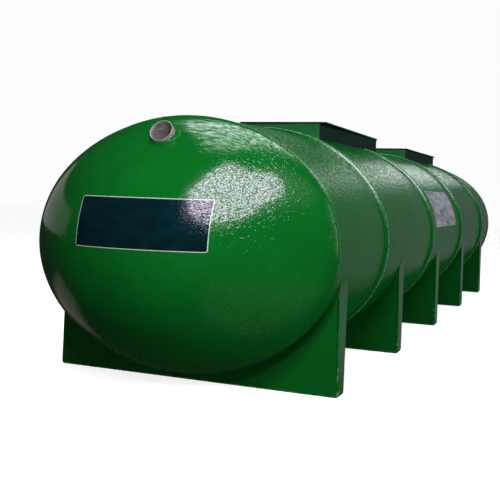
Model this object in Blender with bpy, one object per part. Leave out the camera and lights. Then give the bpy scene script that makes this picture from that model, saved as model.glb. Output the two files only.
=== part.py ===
"""Biogas digester: a long fibreglass tank of oval section with dished ends.

The tank lies along X with its near end towards -X, and stands on five broad
slab saddles. Raised bands ring it, two low access chambers sit on its crown,
and a short pipe enters high on each end. Metres, +Z up, ground at Z = 0.
"""

import math

import bmesh
import bpy
from mathutils import Matrix

# Tank
HALF_WIDTH = 1.25
HALF_HEIGHT = 1.00
BARREL_LENGTH = 8.98
WALL = 0.014
AXIS_HEIGHT = 1.10
SIDES = 72

# Dished ends
DOME_DEPTH = 0.93
DOME_FULLNESS = 0.72
DOME_RINGS = 11
DOME_TIP_SHARE = 0.05

# Raised bands, by distance from the near seam
RIB_PLACES = (1.49, 3.72, 5.84, 8.00)
RIB_HEIGHT = 0.030
RIB_FOOT = 0.130
RIB_CREST = 0.075
LIP_HEIGHT = 0.014
LIP_LENGTH = 0.060
LIP_TAPER = 0.015

# Saddles, by distance of the near face from the near seam
SADDLE_FIRST = 0.20
SADDLE_PITCH = 2.03
SADDLE_COUNT = 5
SADDLE_THICKNESS = 0.24
SADDLE_DRAFT = 0.09
SADDLE_SPREAD = 0.025
SADDLE_HORN_STEPS = 3

# Access chambers: wall ends by distance from the near seam; each bridges one band
FRONT_CHAMBER = {"near": 2.02, "far": 4.29, "half": 0.415, "lid_half": 0.450, "turn": 1.5}
REAR_CHAMBER = {"near": 6.18, "far": 8.40, "half": 0.370, "lid_half": 0.390, "turn": 0.0}
LID_TOP = 1.120
LID_THICKNESS = 0.018
LID_END_OVERHANG = 0.004
CHAMBER_WALL = 0.035
HATCH_MARGIN = 0.10
HATCH_LOW = 0.6
HATCH_HIGH = 1.2

# Pipes through the dished ends, leaning up and outwards; places are the rim's middle
PIPE_RADIUS = 0.088
PIPE_BORE = 0.0803
PIPE_LEAN = 30.0
PIPE_REACH = 0.480
PIPE_SIDE = -0.047
PIPE_HEIGHT = 0.832
PIPE_LENGTH = 0.26
PIPE_SIDES = 32
COLLAR_SPREAD = 0.022
COLLAR_EDGE = 0.002
COLLAR_COVER = 0.45

# Plates on the skin
PLATE_THICKNESS = 0.003
END_PLATE_WIDTH = 0.97
END_PLATE_HEIGHT = 0.35
END_PLATE_SIDE = -0.10
END_PLATE_LOW = 0.008
END_PLATE_COLUMNS = 12
END_PLATE_ROWS = 5
SIDE_PLATE_NEAR = 3.98
SIDE_PLATE_LENGTH = 1.42
SIDE_PLATE_STEPS = (1, 6)

GAP = 0.0003
TOOL_MARGIN = 0.1
SMOOTH_ANGLE = 35.0
STEP = 2 * math.pi / SIDES
NEAR_SEAM = -BARREL_LENGTH / 2
FAR_SEAM = BARREL_LENGTH / 2


def clear_scene():
    for obj in list(bpy.data.objects):
        bpy.data.objects.remove(obj, do_unlink=True)


def make_material(name, colour, roughness, metallic=0.0):
    material = bpy.data.materials.new(name)
    material.use_nodes = True
    shader = material.node_tree.nodes["Principled BSDF"]
    shader.inputs["Base Color"].default_value = (*colour, 1.0)
    shader.inputs["Roughness"].default_value = roughness
    shader.inputs["Metallic"].default_value = metallic
    return material


def add_piece(name, bm, material, smooth=True):
    """Turns a bmesh into a named object standing on the ground plane."""
    bm.normal_update()
    bmesh.ops.recalc_face_normals(bm, faces=bm.faces)
    mesh = bpy.data.meshes.new(name)
    bm.to_mesh(mesh)
    bm.free()
    mesh.materials.append(material)
    if smooth:
        mesh.shade_smooth()
        mesh.set_sharp_from_angle(angle=math.radians(SMOOTH_ANGLE))
    obj = bpy.data.objects.new(name, mesh)
    obj.location.z = AXIS_HEIGHT
    bpy.context.scene.collection.objects.link(obj)
    return obj


def oval_point(step, grow=0.0):
    """Y and Z, from the tank's axis, of the oval at a numbered step round it."""
    angle = step * STEP
    return (
        (HALF_WIDTH + grow) * math.cos(angle),
        (HALF_HEIGHT + grow) * math.sin(angle),
    )


def skin_height(y, grow=0.0):
    """Height above the axis of the faceted skin at a given Y, on the upper half."""
    for step in range(SIDES // 2):
        y0, z0 = oval_point(step, grow)
        y1, z1 = oval_point(step + 1, grow)
        if y1 <= y <= y0:
            return z0 + (z1 - z0) * (y - y0) / (y1 - y0)
    return 0.0


def skin_breaks(y_low, y_high, grow=0.0):
    """The facet corners that lie between two places across the tank."""
    places = [oval_point(step, grow)[0] for step in range(SIDES // 2 + 1)]
    return sorted(y for y in places if y_low + 1e-4 < y < y_high - 1e-4)


def loft_loops(bm, loops, closed=True):
    """Joins equal rings of vertices with quads; closed joins the last to the first."""
    count = len(loops)
    for index in range(count if closed else count - 1):
        ring, following = loops[index], loops[(index + 1) % count]
        for side in range(len(ring)):
            after = (side + 1) % len(ring)
            bm.faces.new((ring[side], ring[after], following[after], following[side]))


def oval_sleeve(name, section, material):
    """A band round the tank; section lists (x, grow) corners of its cut face."""
    bm = bmesh.new()
    loops = []
    for x, grow in section:
        ring = []
        for step in range(SIDES):
            y, z = oval_point(step, grow)
            ring.append(bm.verts.new((x, y, z)))
        loops.append(ring)
    loft_loops(bm, loops)
    return add_piece(name, bm, material)


def extrude_outline(name, outline, x_near, x_far, material, draft=0.0):
    """A slab across the tank; outline lists its (y, z) corners in order.

    Draft is how much thinner the slab is at its lowest corner than at its highest.
    """
    bm = bmesh.new()
    face = bm.faces.new([bm.verts.new((x_near, y, z)) for y, z in outline])
    grown = bmesh.ops.extrude_face_region(bm, geom=[face])
    moved = [v for v in grown["geom"] if isinstance(v, bmesh.types.BMVert)]
    bmesh.ops.translate(bm, verts=moved, vec=(x_far - x_near, 0.0, 0.0))
    low, high = min(z for _, z in outline), max(z for _, z in outline)
    for vert in moved:
        vert.co.x -= draft * (high - vert.co.z) / (high - low)
    bmesh.ops.triangulate(bm, faces=[f for f in bm.faces if len(f.verts) > 4])
    return add_piece(name, bm, material, smooth=False)


def dome_reach(share, depth):
    """How far a dished end stands out at a share of the oval's radius."""
    return depth * max(0.0, 1.0 - share * share) ** DOME_FULLNESS


def dome_shares():
    """Ring radii as shares of the oval, from the rim to the middle."""
    return [math.cos(math.pi / 2 * i / DOME_RINGS) for i in range(DOME_RINGS)]


def dome_skin(bm, seam, way, grow):
    """Rings of vertices over a dished end, ending in a small tip disc."""
    loops = []
    for share in dome_shares() + [DOME_TIP_SHARE]:
        x = seam + way * dome_reach(share, DOME_DEPTH + grow)
        ring = []
        for step in range(SIDES):
            y, z = oval_point(step, grow)
            ring.append(bm.verts.new((x, y * share, z * share)))
        loops.append(ring)
    return loops


def cap_tip(bm, ring, x):
    tip = bm.verts.new((x, 0.0, 0.0))
    for side in range(len(ring)):
        bm.faces.new((ring[side], ring[(side + 1) % len(ring)], tip))


def dome_solid(seam, way, grow):
    """A filled dished end, used to cut pieces that rest on it."""
    bm = bmesh.new()
    loops = dome_skin(bm, seam, way, grow)
    back = []
    for step in range(SIDES):
        y, z = oval_point(step, grow)
        back.append(bm.verts.new((seam - way * TOOL_MARGIN, y, z)))
    loft_loops(bm, [back] + loops, closed=False)
    cap_tip(bm, loops[-1], seam + way * (DOME_DEPTH + grow))
    bm.faces.new(back)
    return bm


def cut_from(obj, cutter):
    """Cuts one object by another that stays in the file as a wire guide."""
    cutter.hide_render = True
    cutter.display_type = "WIRE"
    modifier = obj.modifiers.new("cut", "BOOLEAN")
    modifier.operation = "DIFFERENCE"
    modifier.solver = "EXACT"
    modifier.object = cutter


def pipe_point(seam, way, radius, side, depth):
    """A point round the pipe, at a depth behind the plane of its rim."""
    angle = 2 * math.pi * side / PIPE_SIDES
    lean = math.radians(PIPE_LEAN)
    rise = radius * math.sin(angle)
    x = PIPE_REACH - rise * math.sin(lean) - depth * math.cos(lean)
    z = PIPE_HEIGHT + rise * math.cos(lean) - depth * math.sin(lean)
    return (seam + way * x, PIPE_SIDE + radius * math.cos(angle), z)


def pipe_ring(bm, seam, way, radius, depth):
    places = [pipe_point(seam, way, radius, side, depth) for side in range(PIPE_SIDES)]
    return [bm.verts.new(place) for place in places]


def skin_depth(radius, side):
    """How far behind the rim's plane a line along the pipe meets the dished end."""
    low, high = -TOOL_MARGIN, PIPE_LENGTH
    for _ in range(30):
        middle = (low + high) / 2
        x, y, z = pipe_point(0.0, 1, radius, side, middle)
        share = math.hypot(y / HALF_WIDTH, z / HALF_HEIGHT)
        if x > dome_reach(share, DOME_DEPTH):
            low = middle
        else:
            high = middle
    return (low + high) / 2


def pipe_tool(name, seam, way, material):
    """A round bar on the pipe's line, used to cut its hole."""
    bm = bmesh.new()
    rings = [
        pipe_ring(bm, seam, way, PIPE_RADIUS + GAP, depth)
        for depth in (-TOOL_MARGIN, PIPE_LENGTH + TOOL_MARGIN)
    ]
    loft_loops(bm, rings, closed=False)
    for ring in rings:
        bm.faces.new(ring)
    return add_piece(name, bm, material)


def dished_end(name, seam, way, material):
    """A dished end as an open shell, with the pipe's hole through it."""
    bm = bmesh.new()
    outer = dome_skin(bm, seam, way, 0.0)
    inner = dome_skin(bm, seam, way, -WALL)
    loft_loops(bm, [inner[0]] + outer, closed=False)
    loft_loops(bm, inner, closed=False)
    cap_tip(bm, outer[-1], seam + way * DOME_DEPTH)
    cap_tip(bm, inner[-1], seam + way * (DOME_DEPTH - WALL))
    obj = add_piece(name, bm, material)
    cut_from(obj, pipe_tool(name + "_bore", seam, way, material))
    return obj


def end_pipe(name, seam, way, material):
    """A short open pipe stub, leaning up out of a dished end."""
    bm = bmesh.new()
    section = (
        (PIPE_RADIUS, PIPE_LENGTH),
        (PIPE_RADIUS, 0.0),
        (PIPE_BORE, 0.0),
        (PIPE_BORE, PIPE_LENGTH),
    )
    loft_loops(bm, [pipe_ring(bm, seam, way, radius, depth) for radius, depth in section])
    return add_piece(name, bm, material)


def end_collar(name, seam, way, material):
    """The laminate fillet that seals a pipe to the dished end."""
    bm = bmesh.new()
    loops = [[], [], [], []]
    for side in range(PIPE_SIDES):
        inner, outer = PIPE_RADIUS + GAP, PIPE_RADIUS + COLLAR_SPREAD
        root, toe = skin_depth(inner, side), skin_depth(outer, side)
        section = (
            (inner, root + WALL),
            (inner, root * (1.0 - COLLAR_COVER) - COLLAR_EDGE),
            (outer, toe - COLLAR_EDGE),
            (outer, toe + WALL),
        )
        for loop, (radius, depth) in zip(loops, section):
            loop.append(bm.verts.new(pipe_point(seam, way, radius, side, depth)))
    loft_loops(bm, loops)
    obj = add_piece(name, bm, material)
    tool = add_piece(name + "_seat", dome_solid(seam, way, GAP), material)
    cut_from(obj, tool)
    return obj


def end_plate(name, seam, way, material):
    """A thin plate that follows the near dished end."""
    columns, rows = END_PLATE_COLUMNS, END_PLATE_ROWS
    bm = bmesh.new()
    skins = []
    for lift in (PLATE_THICKNESS, -WALL):
        grid = []
        for row in range(rows + 1):
            line = []
            for column in range(columns + 1):
                y = END_PLATE_SIDE + END_PLATE_WIDTH * (column / columns - 0.5)
                z = END_PLATE_LOW + END_PLATE_HEIGHT * row / rows
                share = math.hypot(y / HALF_WIDTH, z / HALF_HEIGHT)
                x = seam + way * (dome_reach(share, DOME_DEPTH) + lift)
                line.append(bm.verts.new((x, y, z)))
            grid.append(line)
        skins.append(grid)
    for grid in skins:
        for row in range(rows):
            for column in range(columns):
                bm.faces.new(
                    (
                        grid[row][column],
                        grid[row][column + 1],
                        grid[row + 1][column + 1],
                        grid[row + 1][column],
                    )
                )
    front, back = (edge_walk(grid) for grid in skins)
    loft_loops(bm, [front, back], closed=False)
    obj = add_piece(name, bm, material)
    tool = add_piece(name + "_seat", dome_solid(seam, way, GAP), material)
    cut_from(obj, tool)
    return obj


def edge_walk(grid):
    """The outer vertices of a grid, in order round its edge."""
    last = len(grid) - 1
    side = len(grid[0]) - 1
    walk = list(grid[0])
    walk += [grid[row][side] for row in range(1, last + 1)]
    walk += [grid[last][column] for column in range(side - 1, -1, -1)]
    walk += [grid[row][0] for row in range(last - 1, 0, -1)]
    return walk


def side_plate(name, material):
    """A thin plate on the front side of the barrel, between two bands."""
    low, high = SIDE_PLATE_STEPS
    outline = []
    for step in range(low, high + 1):
        y, z = oval_point(step, PLATE_THICKNESS)
        outline.append((-y, z))
    for step in range(high, low - 1, -1):
        y, z = oval_point(step, GAP)
        outline.append((-y, z))
    x_near = NEAR_SEAM + SIDE_PLATE_NEAR
    return extrude_outline(name, outline, x_near, x_near + SIDE_PLATE_LENGTH, material)


def band_section(x, foot, crest, height):
    return [
        (x - foot / 2, GAP),
        (x - crest / 2, height),
        (x + crest / 2, height),
        (x + foot / 2, GAP),
    ]


def band_tool(name, place, material):
    """A band a hair larger than the raised one, used to notch what bridges it."""
    half_foot = RIB_FOOT / 2 + 2 * GAP
    half_crest = RIB_CREST / 2 + GAP
    x = NEAR_SEAM + place
    section = [
        (x - half_foot, -WALL),
        (x - half_foot, GAP),
        (x - half_crest, RIB_HEIGHT + GAP),
        (x + half_crest, RIB_HEIGHT + GAP),
        (x + half_foot, GAP),
        (x + half_foot, -WALL),
    ]
    return oval_sleeve(name, section, material)


def seam_lip(name, seam, way, material):
    """A thin lap on the barrel, square to the dished end and feathered inwards."""
    section = [
        (seam, GAP),
        (seam, LIP_HEIGHT),
        (seam - way * (LIP_LENGTH - LIP_TAPER), LIP_HEIGHT),
        (seam - way * LIP_LENGTH, GAP),
    ]
    return oval_sleeve(name, section, material)


def barrel_bay(name, x_near, x_far, material):
    """One length of the barrel between two bands, as an open sleeve."""
    section = [(x_near, 0.0), (x_far, 0.0), (x_far, -WALL), (x_near, -WALL)]
    return oval_sleeve(name, section, material)


def saddle(name, x_near, material):
    """A broad upright slab hollowed to cradle the tank; it spreads and thins towards its foot."""
    first, last = SADDLE_HORN_STEPS, SIDES // 2 - SADDLE_HORN_STEPS
    outline = []
    for step in range(first, last + 1):
        y, z = oval_point(-step, GAP)
        outline.append((y, z))
    foot_y = outline[0][0] + SADDLE_SPREAD
    outline.append((-foot_y, -AXIS_HEIGHT))
    outline.append((foot_y, -AXIS_HEIGHT))
    x_far = x_near + SADDLE_THICKNESS
    return extrude_outline(name, outline, x_near, x_far, material, SADDLE_DRAFT)


def wall_outline(y_low, y_high, top):
    """A chamber wall's cut face: straight top, foot fitted to the curved crown."""
    places = [y_low] + skin_breaks(y_low, y_high, GAP) + [y_high]
    outline = [(y, skin_height(y, GAP)) for y in places]
    return outline + [(y_high, top), (y_low, top)]


def chamber_lid(name, size, material):
    """A flat cover laid on the walls, turned a little where it lies askew."""
    x_near = NEAR_SEAM + size["near"] - LID_END_OVERHANG
    x_far = NEAR_SEAM + size["far"] + LID_END_OVERHANG
    half = size["lid_half"]
    spin = Matrix.Rotation(math.radians(size["turn"]), 4, "Z")
    move = Matrix.Translation(((x_near + x_far) / 2, 0.0, LID_TOP - LID_THICKNESS / 2))
    stretch = Matrix.Diagonal((x_far - x_near, 2 * half, LID_THICKNESS, 1.0))
    bm = bmesh.new()
    bmesh.ops.create_cube(bm, size=1.0, matrix=move @ spin @ stretch)
    return add_piece(name, bm, material, smooth=False)


def chamber(prefix, size, band, material, lid_material):
    """Four walls and a lid on the crown; the long walls are notched over a band."""
    x_near = NEAR_SEAM + size["near"]
    x_far = NEAR_SEAM + size["far"]
    half = size["half"]
    top = LID_TOP - LID_THICKNESS - GAP
    end_outline = wall_outline(-half, half, top)
    ends = {"near_wall": x_near, "far_wall": x_far - CHAMBER_WALL}
    for side, x in ends.items():
        extrude_outline(prefix + side, end_outline, x, x + CHAMBER_WALL, material)
    inner = half - CHAMBER_WALL
    notch = band_tool(prefix + "notch", band, material)
    flanks = {"left_wall": (inner, half), "right_wall": (-half, -inner)}
    for side, (y_low, y_high) in flanks.items():
        wall = extrude_outline(
            prefix + side,
            wall_outline(y_low, y_high, top),
            x_near + CHAMBER_WALL + GAP,
            x_far - CHAMBER_WALL - GAP,
            material,
        )
        cut_from(wall, notch)
    chamber_lid(prefix + "lid", size, lid_material)


def hatch(bay, prefix, size, band, material):
    """Cuts the manhole through the crown, between a chamber's near wall and the band."""
    inset = CHAMBER_WALL + HATCH_MARGIN
    half = size["half"] - inset
    outline = [(-half, HATCH_LOW), (half, HATCH_LOW), (half, HATCH_HIGH), (-half, HATCH_HIGH)]
    x_near = NEAR_SEAM + size["near"] + inset
    x_far = NEAR_SEAM + band - RIB_FOOT / 2 - HATCH_MARGIN
    tool = extrude_outline(prefix + "hatch_tool", outline, x_near, x_far, material)
    cut_from(bay, tool)


def build():
    clear_scene()
    shell_green = make_material("gloss_green_fibreglass", (0.010, 0.165, 0.030), 0.16)
    chamber_green = make_material("green_fibreglass_box", (0.012, 0.140, 0.028), 0.30)
    lid_green = make_material("green_fibreglass_lid", (0.020, 0.110, 0.035), 0.38)
    pipe_grey = make_material("grey_pipe_plastic", (0.42, 0.40, 0.37), 0.45)
    plate_navy = make_material("dark_plate", (0.010, 0.030, 0.035), 0.35)

    seams = [0.0, *RIB_PLACES, BARREL_LENGTH]
    bays = []
    for index in range(len(seams) - 1):
        x_near = NEAR_SEAM + seams[index] + GAP / 2
        x_far = NEAR_SEAM + seams[index + 1] - GAP / 2
        bays.append(barrel_bay(f"barrel_bay_{index + 1}", x_near, x_far, shell_green))
    for index, place in enumerate(RIB_PLACES):
        section = band_section(NEAR_SEAM + place, RIB_FOOT, RIB_CREST, RIB_HEIGHT)
        oval_sleeve(f"rib_{index + 1}", section, shell_green)
    seam_lip("near_seam_lip", NEAR_SEAM + GAP / 2, -1, shell_green)
    seam_lip("far_seam_lip", FAR_SEAM - GAP / 2, 1, shell_green)

    dished_end("near_dome", NEAR_SEAM - GAP / 2, -1, shell_green)
    dished_end("far_dome", FAR_SEAM + GAP / 2, 1, shell_green)
    end_pipe("inlet_pipe", NEAR_SEAM, -1, pipe_grey)
    end_pipe("outlet_pipe", FAR_SEAM, 1, pipe_grey)
    end_collar("inlet_collar", NEAR_SEAM - GAP / 2, -1, shell_green)
    end_collar("outlet_collar", FAR_SEAM + GAP / 2, 1, shell_green)

    for index in range(SADDLE_COUNT):
        x_near = NEAR_SEAM + SADDLE_FIRST + index * SADDLE_PITCH
        saddle(f"saddle_{index + 1}", x_near, shell_green)

    chamber("front_chamber_", FRONT_CHAMBER, RIB_PLACES[1], chamber_green, lid_green)
    chamber("rear_chamber_", REAR_CHAMBER, RIB_PLACES[3], chamber_green, lid_green)
    hatch(bays[1], "front_", FRONT_CHAMBER, RIB_PLACES[1], shell_green)
    hatch(bays[3], "rear_", REAR_CHAMBER, RIB_PLACES[3], shell_green)

    end_plate("end_plate", NEAR_SEAM - GAP / 2, -1, plate_navy)
    side_plate("side_plate", plate_navy)


build()
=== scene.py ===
"""Looks of the biogas digester: gelcoat skins, raised bands, saddles, chambers, light, camera."""

import math

import bmesh
import bpy
from mathutils import Matrix, Vector, noise


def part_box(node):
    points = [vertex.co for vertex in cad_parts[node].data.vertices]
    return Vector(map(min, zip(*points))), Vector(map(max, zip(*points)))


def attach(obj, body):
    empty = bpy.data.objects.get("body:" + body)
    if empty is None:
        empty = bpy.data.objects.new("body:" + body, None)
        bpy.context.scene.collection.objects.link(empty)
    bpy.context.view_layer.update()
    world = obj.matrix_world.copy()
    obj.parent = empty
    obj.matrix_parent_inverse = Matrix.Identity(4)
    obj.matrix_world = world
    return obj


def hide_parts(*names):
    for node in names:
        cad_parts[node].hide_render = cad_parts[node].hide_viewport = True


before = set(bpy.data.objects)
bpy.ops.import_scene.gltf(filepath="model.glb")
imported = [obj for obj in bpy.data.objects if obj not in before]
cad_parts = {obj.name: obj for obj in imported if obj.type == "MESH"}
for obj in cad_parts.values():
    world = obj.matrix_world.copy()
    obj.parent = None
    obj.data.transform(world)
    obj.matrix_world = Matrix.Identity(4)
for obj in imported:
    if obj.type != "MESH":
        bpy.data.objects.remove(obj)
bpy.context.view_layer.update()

# Tank, as in the part's source
HALF_WIDTH = 1.25
HALF_HEIGHT = 1.00
AXIS_HEIGHT = 1.10
NEAR_SEAM = -4.49
FAR_SEAM = 4.49
WALL = 0.014
DOME_DEPTH = 0.93
DOME_FULLNESS = 0.72
RIB_PLACES = (1.49, 3.72, 5.84, 8.00)
LIP_HEIGHT = 0.014
LIP_LENGTH = 0.060
SADDLE_HORN = 15.0
SADDLE_HALF = 1.2077
SADDLE_SPREAD = 0.025
SADDLE_DRAFT = 0.09
CHAMBER_WALL = 0.035
PIPE_RADIUS = 0.088
PIPE_BORE = 0.0803
PIPE_LEAN = 30.0
PIPE_REACH = 0.480
PIPE_SIDE = -0.047
PIPE_HEIGHT = 0.832
PIPE_LENGTH = 0.26
# Hatches by bay, as near and far end past the near seam, and half width
HATCHES = {1: (2.155, 3.555, 0.28), 3: (6.315, 7.835, 0.235)}
FRONT_LID_TURN = 1.5
SIDE_PLATE_FROM = 5.0
SIDE_PLATE_TO = 30.0
PLATE_LINE = 0.0058

# Skins lie this far under their ideal form on average, and vary by the other two
LAID_UNDER = 0.0012
LAID_BROAD = 0.0009
LAID_CLOSE = 0.0003

# Bands, as laid up, a little slimmer than in the part's source: height, width at foot and
# crest, rounding of the shoulders, the ring strips of the crest that carry a painted highlight
RIB_HEIGHT = 0.024
RIB_FOOT = 0.094
RIB_CREST = 0.056
RIB_ROUND = 0.014
RIB_HIGHLIGHT_ROWS = (7, 8, 9, 10, 11)

# Saddles, as moulded: tip of the horns in degrees, steps down the flank, fairing into the
# skin, round corners, eased and crisp edges, and the turns of an eased edge
SADDLE_TIP = 12.0
SADDLE_STEP = 0.024
SADDLE_FAIRING = 0.004
SADDLE_CORNER = 0.028
SADDLE_EASE = 0.013
SADDLE_CRISP = 0.0002
EASING_TURNS = (0.0, 30.0, 60.0, 90.0)

# The crown lies a little low over the seams of the dished ends
SAG = 0.018
SAG_REACH = 0.9
SLUMP_START = 0.40
SLUMP_FULL = 0.80

# Where the coat changes: heights of the brushed top of the dished ends and of the dull
# patches on the barrel, and Y of the dished ends' smooth and lumpy sides
BRUSHED_TOP = (1.62, 1.86)
PATCHY_TOP = (1.50, 1.75)
SMOOTH_SIDE = (0.25, 0.80)
LUMPY_SIDE = (-0.80, -0.40)

# The roof opening whose glare lies on the near end, seen from above
WINDOW_OUTLINE = (
    (-8.9, -1.25),
    (-7.8, -0.94),
    (-6.3, -1.00),
    (-4.9, -1.02),
    (-4.8, -1.54),
    (-4.7, -2.25),
    (-3.8, -2.91),
    (-3.8, -3.90),
    (-4.5, -5.15),
    (-6.6, -5.62),
    (-8.8, -6.56),
    (-11.6, -6.62),
    (-13.0, -5.08),
    (-12.7, -3.70),
    (-11.2, -2.20),
)
WINDOW_HEIGHT = 6.0
WINDOW_RADIANCE = (18.6, 15.8, 19.8)

# What the skins mirror: turns and lifts in degrees, softness, colour
SURROUNDINGS = (
    ((50, 95), (1, 17), 0.8, (0.34, 0.32, 0.32)),
    ((50, 78), (-31, -17), 3.0, (0.20, 0.17, 0.15)),
    ((-12, 34), (38, 77), 5.0, (4.9, 5.5, 5.5)),
    ((-130, -45), (36, 60), 8.0, (0.8, 0.8, 0.8)),
    ((-24, 22), (-14, 22), 5.0, (0.12, 0.13, 0.14)),
    ((-8, 22), (12, 22), 3.0, (0.12, 0.13, 0.13)),
    ((-4, 4), (13, 20), 1.0, (0.30, 0.34, 0.34)),
    ((1, 8), (7.5, 13), 0.8, (2.0, 2.15, 2.15)),
    ((-44, -29), (-3, 22), 3.0, (1.6, 1.7, 1.7)),
    ((-150, -55), (-75, -24), 8.0, (0.20, 0.20, 0.18)),
)
# What lights them evenly: the lit floor to the front and right
BOUNCE = (((-170, -20), (-88, -4), 12.0, (0.26, 0.26, 0.26)),)
MIRRORED_DARK = 0.02
AMBIENT = 0.08
BACKDROP = 0.98

# Lights that mirrors don't show: place, target, size, watts
LIGHTS = {
    "front": ((-7.7, -1.7, 3.2), (-4.3, -0.7, 0.3), (0.7, 0.6), 78.0),
    "front_low": ((-8.4, -2.2, 2.75), (-4.3, -0.7, 0.5), (0.8, 0.5), 66.0),
    "side": ((-3.0, -8.0, 2.5), (-3.0, 0.0, 1.3), (12.0, 2.0), 286.0),
    "roof": ((-1.0, 0.0, 8.5), (-1.0, 0.0, 0.0), (14.0, 4.0), 670.0),
}

CAMERA_PLACE = (-10.2014, -2.9161, 1.5132)
CAMERA_TURN = (86.054, -1.951, -67.476)
CAMERA_LENS = 59.82

# Fineness of the dressed pieces
ROUND = 320
DOME_RINGS = 90
INNER_RINGS = 20
BAY_STEP = 0.040
PIPE_ROUND = 72
LID_GRID = (48, 20)
PLATE_ROWS_BY_THE_EDGE = {0.003, 0.008, 0.018, 0.982, 0.992, 0.997}


# ---------------------------------------------------------------- materials


class Nodes:
    """Short calls for building a node tree."""

    def __init__(self, tree):
        self.tree = tree

    def add(self, kind, **settings):
        node = self.tree.nodes.new(kind)
        for key, value in settings.items():
            setattr(node, key, value)
        return node

    def link(self, source, target):
        self.tree.links.new(source, target)

    def ramp(self, value, low, high, dark=0.0, light=1.0):
        node = self.add("ShaderNodeMapRange", interpolation_type="SMOOTHSTEP")
        node.inputs["From Min"].default_value = low
        node.inputs["From Max"].default_value = high
        node.inputs["To Min"].default_value = dark
        node.inputs["To Max"].default_value = light
        self.link(value, node.inputs["Value"])
        return node.outputs["Result"]

    def mix(self, factor, first, second):
        node = self.add("ShaderNodeMix", data_type="RGBA")
        for index, value in ((0, factor), (6, first), (7, second)):
            if isinstance(value, (int, float)):
                node.inputs[index].default_value = value
            elif isinstance(value, tuple):
                node.inputs[index].default_value = (*value, 1.0)
            else:
                self.link(value, node.inputs[index])
        return node.outputs[2]

    def maths(self, operation, first, second=0.0):
        node = self.add("ShaderNodeMath", operation=operation)
        for index, value in enumerate((first, second)):
            if isinstance(value, (int, float)):
                node.inputs[index].default_value = value
            else:
                self.link(value, node.inputs[index])
        return node.outputs[0]

    def less(self, value):
        """What is left of one."""
        return self.maths("SUBTRACT", 1.0, value)

    def parts(self, vector):
        """The X, Y and Z of a vector."""
        node = self.add("ShaderNodeSeparateXYZ")
        self.link(vector, node.inputs["Vector"])
        return [node.outputs[axis] for axis in "XYZ"]


class Skin(Nodes):
    """A new material's nodes, laid out in the object's own space."""

    def __init__(self, name):
        self.material = bpy.data.materials.new(name)
        self.material.use_nodes = True
        super().__init__(self.material.node_tree)
        self.shader = self.tree.nodes["Principled BSDF"]
        self.place = self.add("ShaderNodeTexCoord").outputs["Object"]
        _, self.y, self.z = self.parts(self.place)

    def noise(self, scale, detail=2.0, stretch=(1.0, 1.0, 1.0), rough=0.5, warp=0.0):
        mapping = self.add("ShaderNodeMapping")
        mapping.inputs["Scale"].default_value = stretch
        self.link(self.place, mapping.inputs["Vector"])
        node = self.add("ShaderNodeTexNoise")
        node.inputs["Scale"].default_value = scale
        node.inputs["Detail"].default_value = detail
        node.inputs["Roughness"].default_value = rough
        node.inputs["Distortion"].default_value = warp
        self.link(mapping.outputs["Vector"], node.inputs["Vector"])
        return node.outputs["Fac"]

    def bump(self, height, distance, strength=1.0, under=None):
        node = self.add("ShaderNodeBump")
        node.inputs["Strength"].default_value = strength
        node.inputs["Distance"].default_value = distance
        self.link(height, node.inputs["Height"])
        if under is not None:
            self.link(under, node.inputs["Normal"])
        return node.outputs["Normal"]


def gelcoat(name, bright, deep, dust=0.0, wear_and_highlight=None, painted_side_shade=None, **coat):
    """Glossy pigmented resin over hand-laid mat, with uneven colour.

    Pale marks give the share, fineness and colour of worn resin on chipped edges and of a
    painted highlight on the bands' crests, and the height they fade out at; shaded gives a
    painted shade colour for faces turned to -Y and +Y.
    """
    n = Skin(name)
    cloudy = n.ramp(n.noise(1.3, 3.0), 0.35, 0.68)
    mottled = n.ramp(n.noise(16.0, 4.0, stretch=(1.0, 0.6, 1.0)), 0.40, 0.75, 0.0, 0.35)
    colour = n.mix(cloudy, deep, bright)
    colour = n.mix(mottled, colour, tuple(c * 0.72 for c in bright))
    if dust:
        film = n.ramp(n.noise(5.0, 5.0, rough=0.65), 0.38, 0.80, 0.0, dust)
        colour = n.mix(film, colour, (0.16, 0.20, 0.15))
    # Pale marks: resin worn on chipped edges, and a painted highlight along the bands' crests
    if wear_and_highlight:
        share, fineness, resin, top = wear_and_highlight
        worn_and_highlit = n.ramp(n.noise(fineness, 4.0), 0.44, 0.60, 0.0, share)
        low = n.ramp(n.z, top / 3, top, 1.0, 0.12)
        worn_and_highlit = n.maths("MULTIPLY", worn_and_highlit, low)
        colour = n.mix(worn_and_highlit, colour, resin)
    # Painted shade: faces turned to -Y and +Y take the given shade colour
    if painted_side_shade:
        facing = n.parts(n.add("ShaderNodeTexCoord").outputs["Normal"])
        side_shade_mask = n.ramp(n.maths("ABSOLUTE", facing[1]), 0.6, 0.9)
        colour = n.mix(side_shade_mask, colour, painted_side_shade)
    n.link(colour, n.shader.inputs["Base Color"])
    n.link(n.ramp(n.noise(7.0, 3.0), 0.3, 0.7, 0.42, 0.58), n.shader.inputs["Roughness"])
    resin_coat(n, **coat)
    return n.material


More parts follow.
